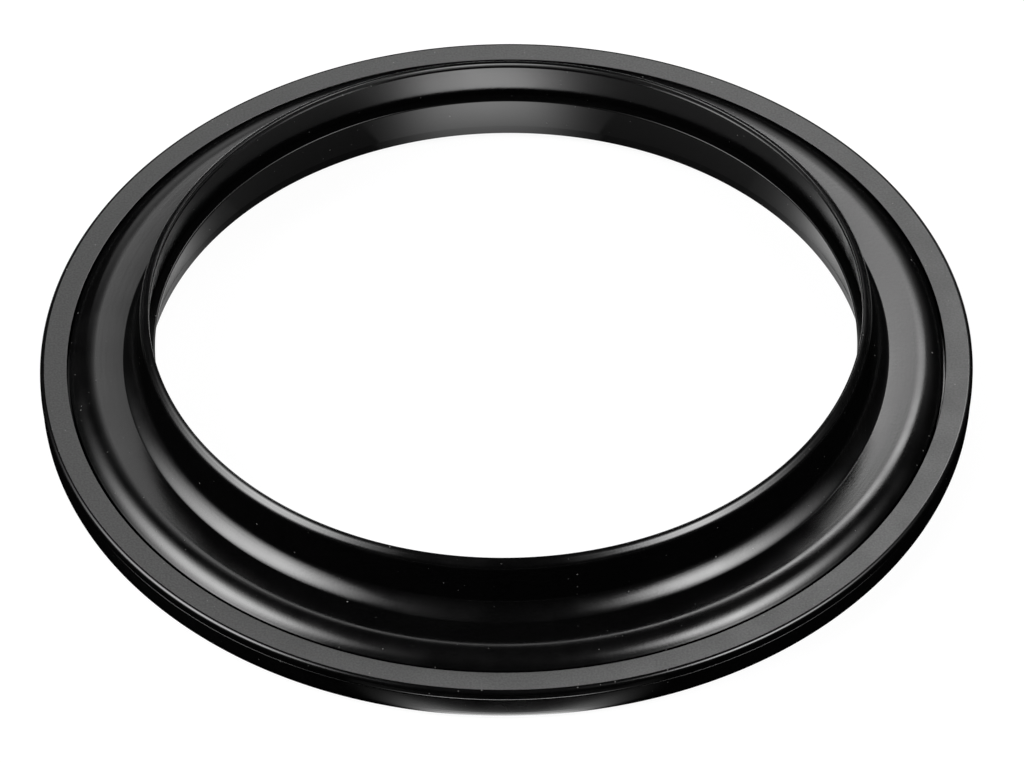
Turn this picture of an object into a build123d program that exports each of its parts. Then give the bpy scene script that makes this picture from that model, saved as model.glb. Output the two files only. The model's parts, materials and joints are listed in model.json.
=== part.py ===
"""Ring-shaped toilet flange: two rigid rings clamp a rubber lip seal, and a sleeve lines the bore.

The flange lies flat between the floor pipe and the toilet pan.  The rubber hump seals against the
underside of the pan, the upright lip seals round the pan's 100 mm outlet, and the hard rim stops
the pan from crushing the rubber.  Every piece is a solid of revolution about the Z axis, drawn as
a half section in the XZ plane (X is the radius, Z the height) and turned through a full circle.

Units are millimetres.  The origin is the centre of the foot plane, with +Z up towards the pan.
"""
import os
from math import radians, tan

from build123d import *

os.makedirs("parts", exist_ok=True)

# Heights, each one measured up from the one before unless it says otherwise
plate_lift = 1.1          # floor to the underside of the base plate
plate_thickness = 1.5     # base plate, up to the seat of the seal
seal_edge_thickness = 1.45  # clamped edge of the seal
rim_thickness = 1.65      # clamp ring, whose top is the stop for the pan
crease_rise = 1.3         # rim to the crease between the hump and the collar
collar_foot_rise = 2.2    # crease to the end of the collar's foot curve
collar_wall_rise = 5.6    # collar's wall, up to the foot of the lip's sloping shoulder
shoulder_rise = 0.82      # lip's sloping shoulder
lip_rise = 0.08           # lip's top face, up to its inner edge
lip_land = 1.4            # straight stretch of the lip's mouth, down from the lip
flank_foot_drop = 0.06    # rim down to the foot of the hump's outer flank
ledge_drop = 0.2          # end of the collar's foot curve down to the ledge, the stop for the outlet
socket_depth = 1.3        # straight stretch of the collar, up from the ledge
mouth_land = 1.5          # straight stretch at the bottom of the bore

# Radii: the outside of the flange, and widths measured inward from it
outer_radius = 65.0       # clamp ring
rim_overhang = 0.15       # how far the clamp ring stands out past the base ring
foot_width = 4.35         # foot the flange stands on, in from the base ring's outside
rim_width = 3.8           # clamp ring
hump_width = 7.85         # clamp ring to the crease
collar_foot_width = 2.2   # crease to the outside of the collar
collar_lean = 0.35        # how far the collar's wall leans in on its way up
shoulder_width = 0.87     # lip's sloping shoulder
lip_width = 0.53          # lip's top face; its mouth is tight on a 100 mm outlet
collar_wall = 0.95        # collar just above the ledge; its inside is loose on a 100 mm outlet
ledge_width = 1.45        # ledge at the top of the bore
bore_flare = 1.6          # how far the bore opens out on its way down, to fit over a 100 mm pipe

# Slopes, in degrees from level
flank_slope = 49          # outer flank of the hump, where it starts
crown_slope = 5           # crown of the hump, falling from the crest in to the crease
foot_curve_slope = 17     # where the collar's foot curve leaves the crease

# Widths of the joints between the pieces
groove_width = 0.3        # open groove between the hard rim and the hump
seal_edge_width = 0.7     # how far the seal reaches under the clamp ring
seal_gap = 0.1            # rubber to hard rings, across curved faces
ring_gap = 0.05           # hard ring to hard ring, across curved faces
tongue_width = 1.0        # tongue under the clamp ring
tongue_depth = 1.0
tongue_floor_gap = 0.1    # below the tongue
sleeve_flange_width = 2.0  # flange at the bottom of the sleeve, past its wall
sleeve_flange_height = 0.8
bead_radius = 0.45        # bead round the sleeve that holds the rubber
bead_rise = 2.0           # base plate up to the middle of the bead

# Edge roundings, and how far the foot curve holds on to its end slopes (1 is a plain spline)
foot_curve_hold = 0.6
rim_top_round = 0.6
rim_under_round = 0.45
rim_inner_round = 0.12
base_round = 1.7
hump_round = 4.0
lip_round = 0.12
shoulder_round = 1.1
crest_round = 1.1
sleeve_round = 0.2

# Values that follow from the ones above
seal_seat_height = plate_lift + plate_thickness
rim_underside = seal_seat_height + seal_edge_thickness
rim_height = rim_underside + rim_thickness
flank_foot_height = rim_height - flank_foot_drop
crease_height = rim_height + crease_rise
collar_spring = crease_height + collar_foot_rise
ledge_height = collar_spring - ledge_drop
shoulder_height = collar_spring + collar_wall_rise
crest_height = shoulder_height + shoulder_rise
lip_height = crest_height + lip_rise
base_radius = outer_radius - rim_overhang
foot_radius = base_radius - foot_width
rim_inner_radius = outer_radius - rim_width
crease_radius = rim_inner_radius - hump_width
collar_radius = crease_radius - collar_foot_width
shoulder_radius = collar_radius - collar_lean
crest_radius = shoulder_radius - shoulder_width
lip_radius = crest_radius - lip_width
socket_radius = collar_radius - collar_wall
ledge_radius = socket_radius - ledge_width
mouth_radius = ledge_radius + bore_flare
seal_edge_radius = rim_inner_radius + seal_edge_width
base_wall_inner = seal_edge_radius + seal_gap
tongue_centre = (base_wall_inner + base_radius) / 2
sleeve_wall = socket_radius - seal_gap - ledge_radius
sleeve_foot = plate_lift
sleeve_flange_top = sleeve_foot + sleeve_flange_height
sleeve_flange_radius = mouth_radius + sleeve_wall + sleeve_flange_width
mouth_top = sleeve_foot + mouth_land
bead_height = seal_seat_height + bead_rise


def bore_radius_at(height):
    """Inside radius of the sleeve's taper, from its bottom land up to the ledge."""
    share = (height - mouth_top) / (ledge_height - mouth_top)
    return mouth_radius + share * (ledge_radius - mouth_radius)


def sleeve_outer_at(height):
    """Outside radius of the sleeve's taper, which keeps the wall the same all the way up."""
    return bore_radius_at(height) + sleeve_wall


# Base ring: the outer wall and foot, with a thin plate reaching in under the seal
plate_inner_radius = sleeve_outer_at(sleeve_flange_top) + seal_gap
tongue_slot_floor = rim_underside - tongue_depth - tongue_floor_gap
slot_inner = tongue_centre - tongue_width / 2 - ring_gap
slot_outer = tongue_centre + tongue_width / 2 + ring_gap
with BuildPart() as base_ring:
    with BuildSketch(Plane.XZ):
        with BuildLine():
            FilletPolyline(
                (foot_radius, 0),
                (base_radius, 0),
                (base_radius, rim_underside),
                (slot_outer, rim_underside),
                (slot_outer, tongue_slot_floor),
                (slot_inner, tongue_slot_floor),
                (slot_inner, rim_underside),
                (base_wall_inner, rim_underside),
                (base_wall_inner, seal_seat_height),
                (plate_inner_radius, seal_seat_height),
                (plate_inner_radius, sleeve_flange_top),
                (sleeve_flange_radius + ring_gap, sleeve_flange_top),
                (sleeve_flange_radius + ring_gap, plate_lift),
                (foot_radius, plate_lift),
                radius=[0, base_round] + [0] * 12,
                close=True,
            )
        make_face()
    revolve(axis=Axis.Z)
base_ring.part.label = "base_ring"
export_step(base_ring.part, "parts/base_ring.step")

# Clamp ring: the flat hard rim, with a tongue that drops into the base ring's slot
tongue_tip = rim_underside - tongue_depth
with BuildPart() as clamp_ring:
    with BuildSketch(Plane.XZ):
        with BuildLine():
            FilletPolyline(
                (rim_inner_radius, rim_underside),
                (tongue_centre - tongue_width / 2, rim_underside),
                (tongue_centre - tongue_width / 2, tongue_tip),
                (tongue_centre + tongue_width / 2, tongue_tip),
                (tongue_centre + tongue_width / 2, rim_underside),
                (outer_radius, rim_underside),
                (outer_radius, rim_height),
                (rim_inner_radius, rim_height),
                radius=[0, 0, 0, 0, 0, rim_under_round, rim_top_round, rim_inner_round],
                close=True,
            )
        make_face()
    revolve(axis=Axis.Z)
clamp_ring.part.label = "clamp_ring"
export_step(clamp_ring.part, "parts/clamp_ring.step")

# Bore sleeve: a tapered lining with a ledge on top, a bead that holds the rubber, and a flange
with BuildPart() as bore_sleeve:
    with BuildSketch(Plane.XZ):
        with BuildLine():
            FilletPolyline(
                (mouth_radius, sleeve_foot),
                (sleeve_flange_radius, sleeve_foot),
                (sleeve_flange_radius, sleeve_flange_top),
                (sleeve_outer_at(sleeve_flange_top), sleeve_flange_top),
                (sleeve_outer_at(ledge_height), ledge_height),
                (ledge_radius, ledge_height),
                (mouth_radius, mouth_top),
                radius=[sleeve_round, 0, 0, 0, 0, sleeve_round, 0],
                close=True,
            )
        make_face()
        with Locations((sleeve_outer_at(bead_height), bead_height)):
            Circle(bead_radius)
    revolve(axis=Axis.Z)
bore_sleeve.part.label = "bore_sleeve"
export_step(bore_sleeve.part, "parts/bore_sleeve.step")

# Lip seal: the clamped edge, the hump, and the upright collar that ends in the lip.
# The hump's flank and crown start from two slopes that would meet at an apex, with one wide round
# between them.
flank_foot_radius = rim_inner_radius - groove_width
flank_rise = tan(radians(flank_slope))
crown_rise = tan(radians(crown_slope))
foot_to_crease = flank_foot_radius - crease_radius
apex_radius = crease_radius + (
    (flank_foot_height - crease_height + foot_to_crease * flank_rise) / (flank_rise + crown_rise)
)
apex_height = crease_height + (apex_radius - crease_radius) * crown_rise
seal_foot_radius = sleeve_outer_at(seal_seat_height) + seal_gap
socket_top = ledge_height + socket_depth
with BuildPart() as lip_seal:
    with BuildSketch(Plane.XZ):
        with BuildLine():
            FilletPolyline(
                (seal_foot_radius, seal_seat_height),
                (seal_edge_radius, seal_seat_height),
                (seal_edge_radius, rim_underside),
                (flank_foot_radius, rim_underside),
                (flank_foot_radius, flank_foot_height),
                (apex_radius, apex_height),
                (crease_radius, crease_height),
                radius=[0, 0, 0, 0, hump_round],
            )
            Spline(
                (crease_radius, crease_height),
                (collar_radius, collar_spring),
                tangents=[
                    (-1, tan(radians(foot_curve_slope))),
                    (shoulder_radius - collar_radius, shoulder_height - collar_spring),
                ],
                tangent_scalars=[foot_curve_hold, foot_curve_hold],
            )
            FilletPolyline(
                (collar_radius, collar_spring),
                (shoulder_radius, shoulder_height),
                (crest_radius, crest_height),
                (lip_radius, lip_height),
                (lip_radius, lip_height - lip_land),
                (socket_radius, socket_top),
                (socket_radius, ledge_height),
                (seal_foot_radius, seal_seat_height),
                radius=[shoulder_round, crest_round, lip_round, 0, 0, 0],
            )
        make_face()
        with Locations((sleeve_outer_at(bead_height), bead_height)):
            Circle(bead_radius + seal_gap, mode=Mode.SUBTRACT)
    revolve(axis=Axis.Z)
lip_seal.part.label = "lip_seal"
export_step(lip_seal.part, "parts/lip_seal.step")
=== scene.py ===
# %% [markdown]
# # A toilet flange in rubber and plastic
#
# The flange is a flat ring, 130 mm across, that lies between the floor pipe and the toilet pan. It has
# four pieces: a rubber seal with a soft hump and an upright lip, a hard clamp ring that holds the
# seal's edge, a base ring that stands on the floor, and a sleeve that lines the bore.
#
# All four come from the same idea as a lathe: draw half of the piece's cross-section, then carry it
# once round the upright axis. The CAD model gives the space that each piece fills, so they fit together.

# %% Load the CAD frame
import json

import bpy
import numpy as np
from mathutils import Matrix, Vector


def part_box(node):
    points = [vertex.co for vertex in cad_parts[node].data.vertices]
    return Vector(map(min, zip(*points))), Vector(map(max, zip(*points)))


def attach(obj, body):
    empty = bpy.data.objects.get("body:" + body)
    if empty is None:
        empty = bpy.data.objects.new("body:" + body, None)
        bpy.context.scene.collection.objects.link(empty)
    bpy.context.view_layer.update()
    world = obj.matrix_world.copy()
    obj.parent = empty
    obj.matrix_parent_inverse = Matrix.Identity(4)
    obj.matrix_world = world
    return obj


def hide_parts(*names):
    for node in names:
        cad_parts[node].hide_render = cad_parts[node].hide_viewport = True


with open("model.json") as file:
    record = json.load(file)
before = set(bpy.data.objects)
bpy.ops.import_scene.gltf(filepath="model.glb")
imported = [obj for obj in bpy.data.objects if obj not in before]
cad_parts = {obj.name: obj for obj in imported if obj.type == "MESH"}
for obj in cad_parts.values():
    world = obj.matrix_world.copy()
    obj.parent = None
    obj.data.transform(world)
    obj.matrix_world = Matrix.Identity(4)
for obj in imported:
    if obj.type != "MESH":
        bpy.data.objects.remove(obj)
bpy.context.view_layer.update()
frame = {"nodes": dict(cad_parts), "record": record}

MM = 0.001  # one millimetre in metres
TURN = 2 * np.pi
node_boxes = {name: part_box(name) for name in frame["nodes"]}
for name, (low, high) in sorted(node_boxes.items()):
    print(f"{name}: radius {high.x / MM:.2f} mm, heights {low.z / MM:.2f} to {high.z / MM:.2f} mm")


def outer_radius(node):
    """Largest radius that fits inside a node's box, in millimetres, less a thousandth for rounding."""
    low, high = node_boxes[node]
    return min(-low.x, -low.y, high.x, high.y) / MM - 0.001


def heights(node):
    """Lowest and highest point of a node, in millimetres."""
    return [round(corner.z / MM, 2) for corner in node_boxes[node]]


# %% [markdown]
# ## Sizes read from the CAD model
#
# A piece that takes the place of a CAD node has to fill the same space. So its largest radius and its
# lowest and highest points are read from that node's box, and the radius of each bore is read from the
# record. The other sizes are small steps inward or upward from those.

# %% Radii and heights, in millimetres
bore_radii = {mount["name"]: mount["dims"].get("r_mm") for mount in frame["record"]["mounts"]}
LIP_MOUTH = bore_radii["lip_bore"]
BORE_MOUTH = bore_radii["mouth_bore"]
RIM_OUT, BASE_OUT, SEAL_OUT, SLEEVE_OUT = (
    outer_radius(node) for node in ("clamp_ring", "base_ring", "lip_seal", "bore_sleeve")
)
RIM_TOP = heights("clamp_ring")[1]
BASE_TOP = heights("base_ring")[1]
SEAL_SEAT = heights("lip_seal")[0]
SLEEVE_FOOT, LEDGE = heights("bore_sleeve")
print("lip mouth", LIP_MOUTH, "bore mouth", BORE_MOUTH, "rim", RIM_OUT, RIM_TOP, "base", BASE_OUT, BASE_TOP)
print("seal", SEAL_OUT, SEAL_SEAT, "sleeve", SLEEVE_OUT, SLEEVE_FOOT, "ledge", LEDGE)

# %% [markdown]
# ## Drawing a cross-section
#
# No moulded edge is quite sharp, and it is the tiny round on each edge that catches the light. So an
# outline is given as corners, each with the radius of its round, and the rounds are worked out for all
# corners at once. Blender's Bevel modifier could round the edges too, but then the profile of the
# hump, whose wide round is most of its shape, would depend on how the mesh happens to be cut.

# %% Outline helpers
def rounded(corners, rounds, arc_points=5):
    """A run of straight edges with round corners, as rows of (radius, height).

    An arc touches both edges at round / tan(half the corner's angle) from the corner. Its centre is
    on the line that halves the angle, at round / sin(half the angle). The two ends stay sharp."""
    corners = np.asarray(corners, float)
    rounds = np.asarray(rounds, float)[:, None]
    inner = corners[1:-1]
    back = corners[:-2] - inner
    ahead = corners[2:] - inner
    back /= np.linalg.norm(back, axis=1, keepdims=True)
    ahead /= np.linalg.norm(ahead, axis=1, keepdims=True)
    half = np.arccos(np.sum(back * ahead, axis=1, keepdims=True)) / 2
    middle = (back + ahead) / np.linalg.norm(back + ahead, axis=1, keepdims=True)
    centre = inner + middle * rounds / np.sin(half)
    first = inner + back * rounds / np.tan(half) - centre
    last = inner + ahead * rounds / np.tan(half) - centre
    begin = np.arctan2(first[:, 1:], first[:, :1])
    sweep = np.arctan2(last[:, 1:], last[:, :1]) - begin
    sweep = (sweep + np.pi) % TURN - np.pi
    angle = begin + sweep * np.linspace(0, 1, arc_points)
    arcs = centre[:, None] + rounds[:, None] * np.stack([np.cos(angle), np.sin(angle)], axis=-1)
    return np.vstack([corners[:1], arcs.reshape(-1, 2), corners[-1:]])


def flowing(start, start_way, end, end_way, pull, count=18):
    """A smooth curve that leaves `start` in one direction and arrives at `end` in another.

    It is a cubic, whose end slopes are the two directions times the chord's length times `pull`."""
    start, end = np.asarray(start, float), np.asarray(end, float)
    reach = np.linalg.norm(end - start) * pull
    leave = np.asarray(start_way, float) / np.linalg.norm(start_way) * reach
    arrive = np.asarray(end_way, float) / np.linalg.norm(end_way) * reach
    t = np.linspace(0, 1, count)[:, None]
    return (
        (2 * t**3 - 3 * t**2 + 1) * start
        + (t**3 - 2 * t**2 + t) * leave
        + (3 * t**2 - 2 * t**3) * end
        + (t**3 - t**2) * arrive
    )


def arc(centre, radius, begin, end, count=9):
    """Part of a circle, from one angle to another, in degrees from straight outward."""
    angle = np.radians(np.linspace(begin, end, count))
    return np.asarray(centre) + radius * np.stack([np.cos(angle), np.sin(angle)], axis=-1)


def closed(*runs, step=1.0, hold=0.03):
    """Joins runs into one closed outline, and adds points along its straight edges.

    Distance along the outline is the running sum of the edges' lengths. Points are added every
    `step`, and at `hold` from both ends of each long edge, which keeps smooth shading off the flats."""
    points = np.vstack(runs)
    points = np.vstack([points, points[:1]])
    keep = np.r_[True, np.linalg.norm(np.diff(points, axis=0), axis=1) > 1e-4]
    points = points[keep]
    length = np.linalg.norm(np.diff(points, axis=0), axis=1)
    along = np.r_[0, np.cumsum(length)]
    long_edge = length > 10 * hold
    holds = np.r_[along[:-1][long_edge] + hold, along[1:][long_edge] - hold]
    evenly = np.arange(0, along[-1], step)
    fixed = np.sort(np.r_[along[:-1], holds])
    after = np.searchsorted(fixed, evenly)
    gap = np.minimum(
        np.abs(evenly - fixed[np.clip(after, 0, len(fixed) - 1)]),
        np.abs(evenly - fixed[np.clip(after - 1, 0, len(fixed) - 1)]),
    )
    places = np.sort(np.r_[fixed, evenly[gap > 0.3 * step]])
    return np.stack([np.interp(places, along, points[:, k]) for k in (0, 1)], axis=-1)


# %% [markdown]
# ## Turning a cross-section into a piece
#
# Blender's Screw modifier can turn a profile round an axis. Here the surface is worked out directly
# instead, as a grid with a row for each angle and a column for each point of the outline. All the
# points and faces are then made at once as arrays, every face looks outward, and the last row joins
# the first without a seam.

# %% Surface of revolution
def turned(name, outline, steps=480):
    """Carries a closed outline once round the Z axis and makes it an object.

    A point is (radius * cos(angle), radius * sin(angle), height), and each face joins two neighbours
    along the outline to the same two at the next angle."""
    radius, height = outline.T
    angle = np.arange(steps)[:, None] * TURN / steps
    upright = np.broadcast_to(height, (steps, len(outline)))
    grid = np.stack([radius * np.cos(angle), radius * np.sin(angle), upright], axis=-1) * MM
    count = len(outline)
    i = np.arange(steps)[:, None]
    j = np.arange(count)
    here, there = i * count, (i + 1) % steps * count
    ahead = (j + 1) % count
    quads = np.stack([here + j, there + j, there + ahead, here + ahead], axis=-1).reshape(-1, 4)
    mesh = bpy.data.meshes.new(name)
    mesh.from_pydata(grid.reshape(-1, 3), [], quads)
    mesh.polygons.foreach_set("use_smooth", np.ones(len(quads), bool))
    mesh.update()
    piece = bpy.data.objects.new(name, mesh)
    bpy.context.scene.collection.objects.link(piece)
    print(f"{name}: {count} points in the outline, {2 * len(quads)} triangles")
    return piece


def stands_for(piece, node):
    """Puts a finished piece in the place of a CAD node and prints how far their boxes differ."""
    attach(piece, "root")
    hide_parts(node)
    corners = np.array([v.co for v in piece.data.vertices])
    low, high = (np.array(corner) for corner in node_boxes[node])
    print(f"{node}: its box differs by {(corners.min(0) - low) / MM} and {(corners.max(0) - high) / MM} mm")


# %% [markdown]
# ## The rubber seal
#
# One moulding does three jobs. Its outer edge is held under the clamp ring. Inside that rises a hump,
# which the pan squashes flat. Then a curved foot runs up into a thin collar, whose rounded lip grips
# the pan's outlet. The hump starts steeply out of the groove, bends over in one wide round, and falls
# gently to a crisp crease, where the collar's foot begins.

# %% Sizes of the seal
EDGE = 0.05  # round on an edge that looks sharp
RUBBER_GAP = 0.1  # rubber to the hard pieces
RING_GAP = 0.05  # one hard ring to another
RIM_WIDTH = 3.8
GROOVE_WIDTH = 0.3  # between the rim and the hump
HUMP_WIDTH = 7.85
HUMP_ROUND = 4.0
COLLAR_WALL = 0.95
BORE_FLARE = 1.6  # how far the bore opens out on its way down
MOUTH_LAND = 1.5  # straight stretch at the bottom of the bore
FLANGE_HEIGHT = 0.8  # flange at the bottom of the sleeve
BEAD_RISE = 2.0  # from the seal's seat up to the middle of the bead
BEAD_ROUND = 0.45
FLANK_SLOPE, CROWN_SLOPE, SAG_SLOPE, FOOT_SLOPE = 49, 6.2, 3, 17  # degrees from level
CROWN_SAG = 0.1  # the crown's line from the wide round would reach the crease this much too low

rim_in = RIM_OUT - RIM_WIDTH
flank_foot = np.array([rim_in - GROOVE_WIDTH, RIM_TOP - 0.06])
crease = np.array([rim_in - HUMP_WIDTH, RIM_TOP + 1.3])
collar_spring = crease + [-2.2, 2.2]
shoulder = collar_spring + [-0.35, 5.6]
lip_crest = shoulder + [-0.87, 0.82]
lip = np.array([LIP_MOUTH, lip_crest[1] + 0.08])
socket = collar_spring[0] - COLLAR_WALL
ledge_radius = BORE_MOUTH - BORE_FLARE
sleeve_wall = socket - RUBBER_GAP - ledge_radius
bore_land_top = SLEEVE_FOOT + MOUTH_LAND
flank_rise, crown_rise, sag_rise, foot_rise = np.tan(
    np.radians([FLANK_SLOPE, CROWN_SLOPE, SAG_SLOPE, FOOT_SLOPE])
)
crown_end = crease - [0, CROWN_SAG]
lift = flank_foot[1] - crown_end[1] + (flank_foot[0] - crease[0]) * flank_rise
apex_run = lift / (flank_rise + crown_rise)
apex = crown_end + [apex_run, apex_run * crown_rise]


def sleeve_outside(height):
    """Outer radius of the tapered sleeve: the bore's taper plus the wall, straight from foot to ledge."""
    share = (height - bore_land_top) / (LEDGE - bore_land_top)
    return BORE_MOUTH + share * (ledge_radius - BORE_MOUTH) + sleeve_wall


seal_inside = sleeve_outside(SEAL_SEAT) + RUBBER_GAP
bead = np.array([sleeve_outside(SEAL_SEAT + BEAD_RISE), SEAL_SEAT + BEAD_RISE])
print("apex of the hump", apex, "lip", lip, "socket", socket, "seal inside", seal_inside, "bead", bead)

# %% [markdown]
# The outline goes once round the section: along the seat and the clamped edge, over the hump, up the
# collar's foot and wall, over the lip, and down the inside. A shallow groove runs round the lip's
# mouth, and the taper below it ends in a small step about a millimetre above the ledge.

# %% Outline of the seal
seat_run = rounded(
    [
        (seal_inside, SEAL_SEAT),
        (SEAL_OUT, SEAL_SEAT),
        (SEAL_OUT, BASE_TOP),
        (flank_foot[0], BASE_TOP),
        flank_foot,
    ],
    [EDGE, EDGE, EDGE],
)[:-1]
hump_run = rounded([seat_run[-1], flank_foot, apex, crown_end], [0.06, HUMP_ROUND], arc_points=15)[1:-1]
crown_run = flowing(hump_run[-1], (-1, -crown_rise), crease, (-1, -sag_rise), pull=1.0, count=12)
foot_run = flowing(crease, (-1, foot_rise), collar_spring, shoulder - collar_spring, pull=0.61)
lip_run = rounded([collar_spring, shoulder, lip_crest, lip], [1.1, 1.1], arc_points=10)[:-1]
mouth_run = rounded(
    [
        lip_run[-1],
        lip,
        lip + [0.15, -0.45],
        lip + [0.15, -0.76],
        lip + [0.0, -0.95],
        (socket - 0.25, LEDGE + 1.2),
        (socket, LEDGE + 1.05),
        (socket, LEDGE),
        bead + [-0.1, 0.62],
    ],
    [0.12, 0.3, 0.12, 0.08, 0.1, EDGE, EDGE],
    arc_points=5,
)
bead_notch = arc(bead, BEAD_ROUND + RUBBER_GAP, 100, -80, count=7)
seal_outline = closed(seat_run, hump_run, crown_run, foot_run, lip_run, mouth_run, bead_notch)

seal = turned("rubber_seal", seal_outline)
stands_for(seal, "lip_seal")

# %% [markdown]
# ## The clamp ring
#
# This is the flat hard rim. Its top is what the pan comes to rest on, so the rubber is never crushed.
# A tongue underneath drops into a slot in the base ring and hides there.

# %% Clamp ring
TONGUE_WIDTH = 1.0
TONGUE_DEPTH = 1.0
RIM_UNDER_ROUND, RIM_TOP_ROUND, RIM_INNER_ROUND = 0.45, 0.6, 0.12

wall_in = SEAL_OUT + RUBBER_GAP
tongue_middle = (wall_in + BASE_OUT) / 2
tongue_in, tongue_out = tongue_middle - TONGUE_WIDTH / 2, tongue_middle + TONGUE_WIDTH / 2
tongue_tip = BASE_TOP - TONGUE_DEPTH
clamp_run = rounded(
    [
        (tongue_in, BASE_TOP),
        (tongue_in, tongue_tip),
        (tongue_out, tongue_tip),
        (tongue_out, BASE_TOP),
        (RIM_OUT, BASE_TOP),
        (RIM_OUT, RIM_TOP),
        (rim_in, RIM_TOP),
        (rim_in, BASE_TOP),
        (tongue_in, BASE_TOP),
    ],
    [EDGE, EDGE, EDGE, RIM_UNDER_ROUND, RIM_TOP_ROUND, RIM_INNER_ROUND, EDGE],
    arc_points=9,
)
clamp = turned("clamp_ring_rim", closed(clamp_run))
stands_for(clamp, "clamp_ring")

# %% [markdown]
# ## The base ring
#
# The base ring is the outer wall and the foot. Its lower outside edge is a wide round, and a thin plate
# reaches in under the seal.

# %% Base ring
FOOT_WIDTH = 4.35
BASE_ROUND, BASE_TOP_ROUND = 1.7, 0.1

base_foot_in = BASE_OUT - FOOT_WIDTH
flange_top = SLEEVE_FOOT + FLANGE_HEIGHT
plate_in = sleeve_outside(flange_top) + RUBBER_GAP
recess = SLEEVE_OUT + RING_GAP
slot_in, slot_out = tongue_in - RING_GAP, tongue_out + RING_GAP
slot_floor = tongue_tip - 0.1
base_run = rounded(
    [
        (base_foot_in, SLEEVE_FOOT),
        (base_foot_in, 0),
        (BASE_OUT, 0),
        (BASE_OUT, BASE_TOP),
        (slot_out, BASE_TOP),
        (slot_out, slot_floor),
        (slot_in, slot_floor),
        (slot_in, BASE_TOP),
        (wall_in, BASE_TOP),
        (wall_in, SEAL_SEAT),
        (plate_in, SEAL_SEAT),
        (plate_in, flange_top),
        (recess, flange_top),
        (recess, SLEEVE_FOOT),
        (base_foot_in, SLEEVE_FOOT),
    ],
    [EDGE, BASE_ROUND, BASE_TOP_ROUND] + [EDGE] * 10,
    arc_points=8,
)
base = turned("base_ring_body", closed(base_run))
stands_for(base, "base_ring")

# %% [markdown]
# ## The bore sleeve
#
# A hard lining gives the bore its taper and its ledge, on which the end of the pan's outlet rests. A
# bead round its outside locks it into the rubber.

# %% Bore sleeve
SLEEVE_ROUND = 0.2

sleeve_run = rounded(
    [
        (BORE_MOUTH, SLEEVE_FOOT + 0.5),
        (BORE_MOUTH, SLEEVE_FOOT),
        (SLEEVE_OUT, SLEEVE_FOOT),
        (SLEEVE_OUT, flange_top),
        (sleeve_outside(flange_top), flange_top),
        bead + [0.06, -0.5],
    ],
    [SLEEVE_ROUND, EDGE, EDGE, EDGE],
)
bead_run = arc(bead, BEAD_ROUND, -80, 100)
bore_run = rounded(
    [
        bead + [-0.08, 0.5],
        (sleeve_outside(LEDGE), LEDGE),
        (ledge_radius, LEDGE),
        (BORE_MOUTH, bore_land_top),
        (BORE_MOUTH, SLEEVE_FOOT + 0.5),
    ],
    [EDGE, SLEEVE_ROUND, 0.3],
)
sleeve = turned("bore_lining", closed(sleeve_run, bead_run, bore_run))
stands_for(sleeve, "bore_sleeve")

# %% [markdown]
# ## Building materials from nodes
#
# The finishes share a few effects: fine grain, faint rings left by the turned mould, and specks of
# dust. Each effect is a node group with its own inputs, so it is built once and placed in every
# material that needs it, with that material's own values.

# %% Node helpers
def add(tree, kind, inputs=None, **settings):
    """Adds a node, sets its properties, and joins or sets its inputs by name or number."""
    made = tree.nodes.new(kind)
    for key, value in settings.items():
        setattr(made, key, value)
    for key, value in (inputs or {}).items():
        if isinstance(value, bpy.types.NodeSocket):
            tree.links.new(value, made.inputs[key])
        else:
            made.inputs[key].default_value = value
    return made


def calc(tree, operation, *values, clamp=False):
    """A Math node's result."""
    inputs = dict(enumerate(values))
    return add(tree, "ShaderNodeMath", inputs, operation=operation, use_clamp=clamp).outputs[0]


def remap(tree, value, low, high, to_low=0.0, to_high=1.0):
    """Carries a value smoothly from one range to another, and stops at both ends."""
    inputs = {"Value": value, "From Min": low, "From Max": high, "To Min": to_low, "To Max": to_high}
    return add(tree, "ShaderNodeMapRange", inputs, interpolation_type="SMOOTHSTEP").outputs["Result"]


def blend_colours(tree, share, first, second):
    """A colour that goes from the first to the second as the share goes from 0 to 1."""
    colours = {0: share, 6: (*first, 1), 7: (*second, 1)}  # a Mix node's sockets for its colour mode
    return add(tree, "ShaderNodeMix", colours, data_type="RGBA").outputs[2]


def new_group(name, inputs, outputs):
    """An empty node group with numbers as its inputs and outputs."""
    group = bpy.data.node_groups.new(name, "ShaderNodeTree")
    for label, value in inputs.items():
        socket = group.interface.new_socket(label, in_out="INPUT", socket_type="NodeSocketFloat")
        socket.default_value = value
    for label in outputs:
        group.interface.new_socket(label, in_out="OUTPUT", socket_type="NodeSocketFloat")
    return group, add(group, "NodeGroupInput").outputs, add(group, "NodeGroupOutput")


def new_material(name, **fixed):
    """A material with one Principled BSDF, whose fixed values are set on its own sockets."""
    material = bpy.data.materials.new(name)
    material.use_nodes = True
    tree = material.node_tree
    shader = tree.nodes["Principled BSDF"]
    for key, value in fixed.items():
        shader.inputs[key.replace("_", " ")].default_value = value
    return material, tree, shader


# %% Fine grain
grain, given, result = new_group("fine_grain", {"Size": 0.0003, "Detail": 2.0}, ["Height"])
place = add(grain, "ShaderNodeTexCoord").outputs["Object"]
density = calc(grain, "DIVIDE", 1.0, given["Size"])
noise = add(grain, "ShaderNodeTexNoise", {"Vector": place, "Scale": density, "Detail": given["Detail"]})
grain.links.new(noise.outputs["Fac"], result.inputs["Height"])

# %% [markdown]
# A mould for a round part is cut on a lathe, so its faint marks run round the part. The noise below
# changes quickly across the rings and slowly along them: two of its coordinates are the radius and the
# height, multiplied up, and the other two are the direction from the axis, which has no seam.

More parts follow.
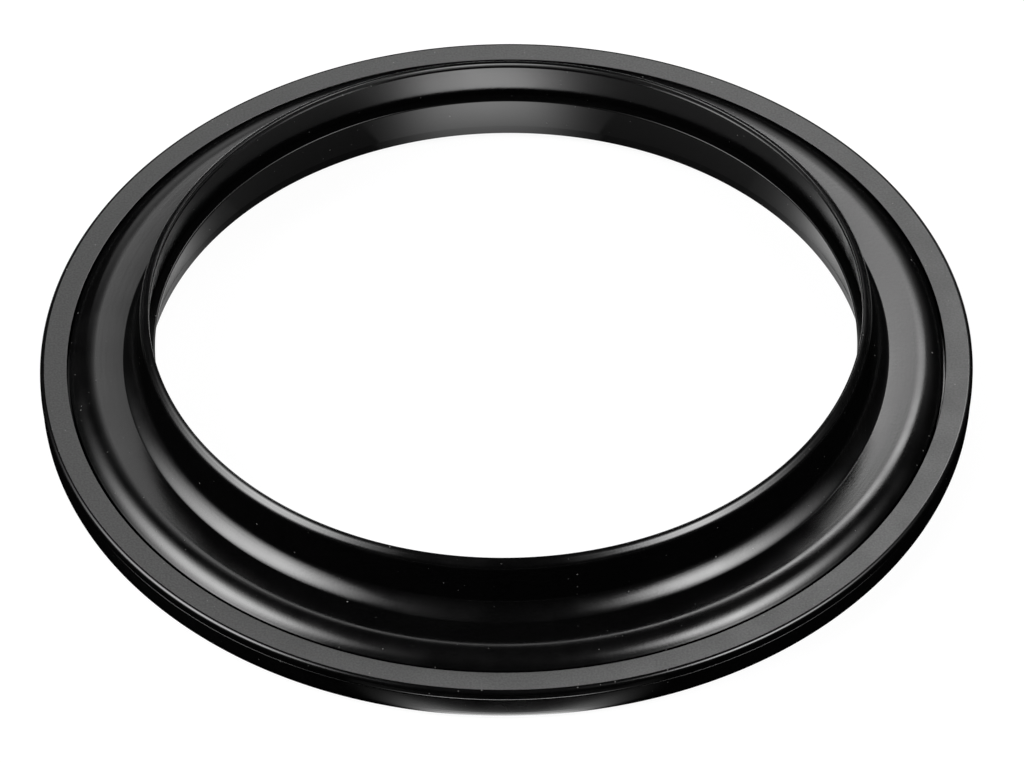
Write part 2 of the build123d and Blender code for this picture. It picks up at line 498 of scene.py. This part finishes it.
# %% Mould rings
rings, given, result = new_group("mould_rings", {"Spacing": 0.0004, "Drift": 3.0}, ["Height"])
place = add(rings, "ShaderNodeSeparateXYZ", {0: add(rings, "ShaderNodeTexCoord").outputs["Object"]}).outputs
flat = add(rings, "ShaderNodeCombineXYZ", {"X": place["X"], "Y": place["Y"]}).outputs[0]
radius = add(rings, "ShaderNodeVectorMath", {0: flat}, operation="LENGTH").outputs["Value"]
way = add(rings, "ShaderNodeVectorMath", {0: flat}, operation="NORMALIZE").outputs["Vector"]
way = add(rings, "ShaderNodeSeparateXYZ", {0: way}).outputs
across = add(
    rings,
    "ShaderNodeCombineXYZ",
    {
        "X": calc(rings, "DIVIDE", radius, given["Spacing"]),
        "Y": calc(rings, "MULTIPLY", way["X"], given["Drift"]),
        "Z": calc(rings, "MULTIPLY", way["Y"], given["Drift"]),
    },
).outputs[0]
upward = calc(rings, "DIVIDE", place["Z"], given["Spacing"])
noise = add(
    rings,
    "ShaderNodeTexNoise",
    {"Vector": across, "W": upward, "Scale": 1.0, "Detail": 2.0},
    noise_dimensions="4D",
)
rings.links.new(noise.outputs["Fac"], result.inputs["Height"])

# %% [markdown]
# Dust comes from a Voronoi texture: one speck may lie at the middle of each cell. The cell's random
# colour says whether it does, how large it is and how bright.

# %% Specks of dust
defaults = {"Spacing": 0.001, "Size": 0.00012, "Share": 0.3}
specks, given, result = new_group("dust_specks", defaults, ["Mask"])
place = add(specks, "ShaderNodeTexCoord").outputs["Object"]
density = calc(specks, "DIVIDE", 1.0, given["Spacing"])
cells = add(specks, "ShaderNodeTexVoronoi", {"Vector": place, "Scale": density}).outputs
chance = add(specks, "ShaderNodeSeparateColor", {0: cells["Color"]}).outputs
distance = calc(specks, "MULTIPLY", cells["Distance"], given["Spacing"])
reach = calc(specks, "MULTIPLY", given["Size"], remap(specks, chance["Green"], 0.0, 1.0, 0.4, 1.3))
near = calc(specks, "SUBTRACT", 1.0, calc(specks, "DIVIDE", distance, reach), clamp=True)
chosen = calc(specks, "LESS_THAN", chance["Red"], given["Share"])
mask = calc(specks, "MULTIPLY", calc(specks, "MULTIPLY", near, chosen), chance["Blue"], clamp=True)
specks.links.new(mask, result.inputs["Mask"])
print("shared effects:", [group.name for group in bpy.data.node_groups])


# %% [markdown]
# ## Finishes
#
# All the pieces are black, so what tells them apart is how they shine: the rubber comes from a polished
# mould, the flat rim from one with a fine spark-eroded grain, and the hard ring's rounded edge and the
# sleeve are smooth. Colour and roughness wander a little over each, and a few specks of dust lie on top.
#
# A black surface mirrored in another black surface is all but black, yet the lamps are so bright beside
# it that the little it sends on would grey the deepest shadows. So where a mirrored ray meets a finish,
# it meets plain black.

# %% Finishes
DEEP_BLACK, GREY_BLACK = (0.002, 0.002, 0.0021), (0.05, 0.05, 0.05)
DUST = (0.3, 0.3, 0.29)
PATCH = 0.006  # size in metres of the patches in which the roughness wanders


def finish_like(name, colour, mottle, roughness, spread, grain_size, grain_depth, ring_depth, **fixed):
    """One black finish: its colour and roughness wander a little, and grain and rings lift it.

    The mottle is the share of the colour by which the grain makes it darker and lighter. The spread
    is how far the roughness goes to either side. The depths are in millimetres."""
    material, tree, shader = new_material(name, **fixed)
    fine = add(tree, "ShaderNodeGroup", {}, node_tree=grain)
    fine.inputs["Size"].default_value = grain_size
    ring = add(tree, "ShaderNodeGroup", {}, node_tree=rings)
    dust = add(tree, "ShaderNodeGroup", {}, node_tree=specks)
    broad = add(tree, "ShaderNodeGroup", {}, node_tree=grain)
    broad.inputs["Size"].default_value = PATCH
    mask = dust.outputs["Mask"]
    darker, lighter = ([part * (1 + change) for part in colour] for change in (-mottle, mottle))
    mottled = blend_colours(tree, remap(tree, fine.outputs["Height"], 0.3, 0.7), darker, lighter)
    inputs = {0: mask, 6: mottled, 7: (*DUST, 1)}
    dusty = add(tree, "ShaderNodeMix", inputs, data_type="RGBA").outputs[2]
    tree.links.new(dusty, shader.inputs["Base Color"])
    rough = remap(tree, broad.outputs["Height"], 0.3, 0.7, roughness - spread, roughness + spread)
    tree.links.new(calc(tree, "MAXIMUM", rough, mask), shader.inputs["Roughness"])
    path = add(tree, "ShaderNodeLightPath").outputs
    unlit = add(tree, "ShaderNodeBsdfDiffuse", {"Color": (0, 0, 0, 1)}).outputs["BSDF"]
    inputs = {0: path["Is Glossy Ray"], 1: shader.outputs["BSDF"], 2: unlit}
    either = add(tree, "ShaderNodeMixShader", inputs).outputs["Shader"]
    tree.links.new(either, tree.nodes["Material Output"].inputs["Surface"])
    height = calc(tree, "MULTIPLY", fine.outputs["Height"], grain_depth)
    height = calc(tree, "MULTIPLY_ADD", ring.outputs["Height"], ring_depth, height)
    bump = add(tree, "ShaderNodeBump", {"Height": height, "Distance": MM, "Strength": 1.0})
    tree.links.new(bump.outputs["Normal"], shader.inputs["Normal"])
    return material


rubber = finish_like(
    "polished_rubber",
    DEEP_BLACK,
    mottle=0.3,
    roughness=0.2,
    spread=0.03,
    grain_size=0.0004,
    grain_depth=0.005,
    ring_depth=0.006,
    IOR=1.67,
)
matte = finish_like(
    "matte_rim",
    GREY_BLACK,
    mottle=0.28,
    roughness=0.43,
    spread=0.03,
    grain_size=0.0003,
    grain_depth=0.02,
    ring_depth=0.0,
    IOR=1.67,
)
smooth = finish_like(
    "smooth_rim_edge",
    DEEP_BLACK,
    mottle=0.3,
    roughness=0.2,
    spread=0.02,
    grain_size=0.0004,
    grain_depth=0.002,
    ring_depth=0.004,
    IOR=1.67,
)
semi_gloss = finish_like(
    "semi_gloss_base",
    DEEP_BLACK,
    mottle=0.3,
    roughness=0.25,
    spread=0.03,
    grain_size=0.0005,
    grain_depth=0.002,
    ring_depth=0.003,
    IOR=1.5,
)
gloss = finish_like(
    "gloss_sleeve",
    DEEP_BLACK,
    mottle=0.3,
    roughness=0.2,
    spread=0.03,
    grain_size=0.0005,
    grain_depth=0.003,
    ring_depth=0.004,
    IOR=1.45,
)
worn = ((seal, [rubber]), (clamp, [smooth, matte]), (base, [semi_gloss]), (sleeve, [gloss]))
for piece, materials in worn:
    for material in materials:
        piece.data.materials.append(material)
    print(piece.name, "wears", [material.name for material in materials])

# %% [markdown]
# The rim's grain covers only its flat top, so the clamp ring has two material slots. A face belongs to
# the grain if its middle lies on the flat, between the two rounded edges.

# %% Grained top of the rim
faces = len(clamp.data.polygons)
middles = np.empty(3 * faces)
clamp.data.polygons.foreach_get("center", middles)
middles = middles.reshape(-1, 3) / MM
out = np.hypot(middles[:, 0], middles[:, 1])
on_flat = (middles[:, 2] > RIM_TOP - 0.01) & (out > rim_in + 0.1) & (out < RIM_OUT - RIM_TOP_ROUND)
clamp.data.polygons.foreach_set("material_index", on_flat.astype(int))
print("grained faces", int(on_flat.sum()), "of", faces)

# %% [markdown]
# ## The floor
#
# A plain pale sheet. Its own colour is lit by the lamps and keeps the flange's shadow, and a light of
# its own brings the open floor up to white for the camera. In mirrored rays it is white far out, and a
# band close behind the flange glows there: a painted glow that the flange mirrors as a painted reflection.
# Beside the flange it is painted dark in mirrored rays, a painted shade which keeps the outer wall black.

# %% Floor sheet
FLOOR_HALF = 6.0
FLOOR_DROP = 0.00002  # keeps the sheet just clear of the flange's foot

floor_mesh = bpy.data.meshes.new("floor")
floor_corners = np.array([[-1, -1, 0], [1, -1, 0], [1, 1, 0], [-1, 1, 0]]) * FLOOR_HALF
floor_mesh.from_pydata(floor_corners - [0, 0, FLOOR_DROP], [], [[0, 1, 2, 3]])
floor = bpy.data.objects.new("floor", floor_mesh)
bpy.context.scene.collection.objects.link(floor)
print("floor", 2 * FLOOR_HALF, "metres square")

# %% Paper
PAPER = 0.12  # how much of the lamps' light the sheet sends back

paper, tree, shader = new_material("pale_paper", Roughness=0.9)
shader.inputs["Specular IOR Level"].default_value = 0.0
shader.inputs["Emission Color"].default_value = (1, 1, 1, 1)
ray = add(tree, "ShaderNodeLightPath").outputs
place = add(tree, "ShaderNodeTexCoord").outputs["Object"]
distance = add(tree, "ShaderNodeVectorMath", {0: place}, operation="LENGTH").outputs["Value"]
seen = calc(tree, "MULTIPLY", ray["Is Camera Ray"], remap(tree, distance, 0.07, 0.2, 0.93, 1.0))
mirrored = calc(tree, "ADD", ray["Is Glossy Ray"], ray["Is Transmission Ray"], clamp=True)
# Painted shade: in mirrored rays the sheet's own colour goes to black beyond 6 cm from the middle.
unlit = calc(tree, "MULTIPLY", mirrored, remap(tree, distance, 0.05, 0.06))
tree.links.new(calc(tree, "MULTIPLY_ADD", unlit, -PAPER, PAPER), shader.inputs["Base Color"])
# Painted glow: a band 66 to 84 mm from the middle, on the back side, glows in mirrored rays only.
side = add(tree, "ShaderNodeSeparateXYZ", {0: place}).outputs["Y"]
begins = remap(tree, distance, 0.066, 0.07)
ends = remap(tree, distance, 0.079, 0.084, 1.0, 0.0)
band = calc(tree, "MULTIPLY", begins, ends)
painted_glow_behind = calc(tree, "MULTIPLY", remap(tree, side, 0.01, 0.035), band)
reach = calc(tree, "ADD", remap(tree, distance, 0.5, 3.0, 0.0, 1.0), painted_glow_behind)
mirrored = calc(tree, "MULTIPLY", mirrored, reach)
tree.links.new(calc(tree, "ADD", seen, mirrored), shader.inputs["Emission Strength"])
floor_mesh.materials.append(paper)
print("paper sends back", PAPER, "of the light")

# %% [markdown]
# ## Studio light
#
# Gloss black shows almost nothing but its surroundings, so it is the lamps that show its form: a
# softbox on the left, one on the right, and two smaller ones close behind the ring. A real softbox is
# brightest in the middle and fades at its edges, and one that stands close lights the near side of the
# ring more. Both are what makes the highlights swell and fade round the ring.
#
# The lamps' own nodes give the fade. Geometry's Parametric output says where on the lamp a ray starts,
# from 0 to 1 along each side. A lamp's power is its brightness times pi times its area, with the
# brightness of lit white paper as one.

# %% Softboxes
LEVEL = 0.64  # brings the four lamps together to plain daylight level on the object


def fading(lamp, spread, fade, lean=0.0, rise=0.0, taper=0.0):
    """Makes a lamp fade at its edges, and lean to one side, with nodes of its own.

    Across the lamp, a goes from -spread to spread, and b does upward. The brightness is
    e ** (lean * a + rise * b), times 1 / (1 + e ** ((|a| - 1) / fade)), times the same in b. With a
    taper, b is divided by 1 + taper * a first, so the lit part is wider at one end."""
    lamp.use_nodes = True
    tree = lamp.node_tree
    spot = add(tree, "ShaderNodeSeparateXYZ", {0: add(tree, "ShaderNodeNewGeometry").outputs["Parametric"]})
    strength, width = 1.0, 1.0
    for place, tilt in ((spot.outputs["X"], lean), (spot.outputs["Y"], rise)):
        part = calc(tree, "DIVIDE", calc(tree, "MULTIPLY_ADD", place, 2 * spread, -spread), width)
        width = calc(tree, "MAXIMUM", calc(tree, "MULTIPLY_ADD", part, taper, 1.0), 0.2)
        past = calc(tree, "DIVIDE", calc(tree, "SUBTRACT", calc(tree, "ABSOLUTE", part), 1.0), fade)
        edge = calc(tree, "DIVIDE", 1.0, calc(tree, "ADD", calc(tree, "EXPONENT", past), 1.0))
        slope = calc(tree, "EXPONENT", calc(tree, "MULTIPLY", part, tilt))
        strength = calc(tree, "MULTIPLY", calc(tree, "MULTIPLY", edge, slope), strength)
    tree.links.new(strength, tree.nodes["Emission"].inputs["Strength"])


def softbox(name, azimuth, elevation, distance, width, height, brightness, fade, lean, rise):
    """A soft rectangular lamp that faces the middle of the flange.

    Azimuth runs from straight behind (+Y) towards the right (+X). Width and height are the angles it
    fills before it fades, in degrees."""
    spread = 1 + 3 * fade
    lamp = bpy.data.lights.new(name, "AREA")
    lamp.shape = "RECTANGLE"
    lamp.size = 2 * spread * distance * np.tan(np.radians(width / 2))
    lamp.size_y = 2 * spread * distance * np.tan(np.radians(height / 2))
    lamp.energy = LEVEL * brightness * np.pi * lamp.size * lamp.size_y
    fading(lamp, spread, fade, lean, rise)
    turn, lift = np.radians([azimuth, elevation])
    away = Vector((np.sin(turn) * np.cos(lift), np.cos(turn) * np.cos(lift), np.sin(lift)))
    holder = bpy.data.objects.new(name, lamp)
    holder.location = away * distance
    holder.rotation_euler = away.to_track_quat("Z", "Y").to_euler()
    holder.visible_camera = False
    bpy.context.scene.collection.objects.link(holder)
    print(f"{name}: {lamp.size:.2f} by {lamp.size_y:.2f} m, {lamp.energy:.2f} W")


softbox("left_box", -93.1, 33.8, 1.235, 39.5, 32.2, 11.4, 0.31, lean=0.54, rise=0.52)
softbox("right_box", 104.2, 40.0, 2.756, 30.4, 22.7, 10.5, 0.34, lean=-1.0, rise=0.48)
softbox("back_box", -6.0, 54.3, 0.286, 24.5, 8.8, 6.9, 0.595, lean=-1.17, rise=-0.3)
softbox("low_back_box", 21.9, 34.0, 0.253, 35.9, 12.0, 2.06, 0.70, lean=0.71, rise=0.12)

# %% [markdown]
# ## Reflector cards
#
# The softboxes are too high for the upright walls, which mirror the floor beside them instead. So
# small bright cards lie there, three inside the ring and one in front of it. They face up and are
# hidden from the camera.

# %% Cards on the floor
CARD_LIFT = 0.1  # millimetres above the floor


def card(name, bearing, nearest, farthest, half_length, brightness, fade=0.3, taper=0.0):
    """A small bright card on the floor, facing up: only the walls that stand over it mirror it.

    It lies square to a bearing, in degrees from the right (+X) towards the back (+Y), and between two
    distances from the middle of the flange, in millimetres."""
    spread = 1 + 5 * fade
    lamp = bpy.data.lights.new(name, "AREA")
    lamp.shape = "RECTANGLE"
    lamp.size, lamp.size_y = spread * (farthest - nearest) * MM, spread * 2 * half_length * MM
    lamp.energy = brightness * np.pi * lamp.size * lamp.size_y
    fading(lamp, spread, fade, taper=taper)
    holder = bpy.data.objects.new(name, lamp)
    way = Vector((np.cos(np.radians(bearing)), np.sin(np.radians(bearing)), 0))
    holder.location = way * (nearest + farthest) / 2 * MM + Vector((0, 0, CARD_LIFT * MM))
    holder.rotation_euler = (np.pi, 0, np.radians(bearing))
    holder.visible_camera = False
    bpy.context.scene.collection.objects.link(holder)
    print(f"{name}: {lamp.size / MM:.1f} by {lamp.size_y / MM:.1f} mm, {lamp.energy:.4f} W")


card("card_at_the_back", 92.5, 35, 49, 6.0, 3.2, taper=0.45)
card("card_on_the_right", 24, 40, 48, 8, 2.9)
card("card_on_the_left", 158, 40, 48, 7, 2.5)
card("card_in_front", 269.5, 63.8, 66.0, 12, 3.6, fade=0.2)

# %% [markdown]
# The world is white for the camera, so that it carries on from the floor, and all but dark for the
# flange, which the lamps light.

# %% World
WORLD_LIGHT = 0.002  # what the flange gets from it

world = bpy.data.worlds.new("dim_studio")
world.use_nodes = True
tree = world.node_tree
strength = calc(tree, "MAXIMUM", add(tree, "ShaderNodeLightPath").outputs["Is Camera Ray"], WORLD_LIGHT)
background = tree.nodes["Background"]
background.inputs["Color"].default_value = (1, 1, 1, 1)
tree.links.new(strength, background.inputs["Strength"])
bpy.context.scene.world = world
bpy.context.scene.view_settings.view_transform = "Standard"
print("lights:", [thing.name for thing in bpy.data.lights])

# %% [markdown]
# ## The camera
#
# A long lens from well above the front, so the ring is hardly distorted: the circles stay near true
# ellipses and the far side is almost as large as the near side.

# %% Camera
CAMERA_RISE = 44.15  # degrees above the floor
CAMERA_DISTANCE = 1.0645  # metres from the middle of the rim
CAMERA_LENS = 268.45  # millimetres, on a sensor 36 mm wide
CAMERA_TURNS = (("up", -0.041), ("right", -0.211), ("look", 0.609))  # degrees about its own axes

rise = np.radians(CAMERA_RISE)
rim_middle = Vector((0, 0, RIM_TOP * MM))
away = Vector((0, -np.cos(rise), np.sin(rise)))
look = -away
right = Vector((1, 0, 0))
up = right.cross(look)
for axis, degrees in CAMERA_TURNS:
    spin = Matrix.Rotation(np.radians(degrees), 3, {"up": up, "right": right, "look": look}[axis])
    right, up, look = spin @ right, spin @ up, spin @ look
place = rim_middle + away * CAMERA_DISTANCE
pose = Matrix((right, up, -look)).transposed().to_4x4()
lens = bpy.data.cameras.new("camera")
lens.lens = CAMERA_LENS
lens.sensor_width = 36
lens.clip_start, lens.clip_end = 0.05, 50
camera = bpy.data.objects.new("camera", lens)
camera.matrix_world = Matrix.Translation(place) @ pose
bpy.context.scene.collection.objects.link(camera)
bpy.context.scene.camera = camera
print("camera at", tuple(round(c, 3) for c in place), "metres")
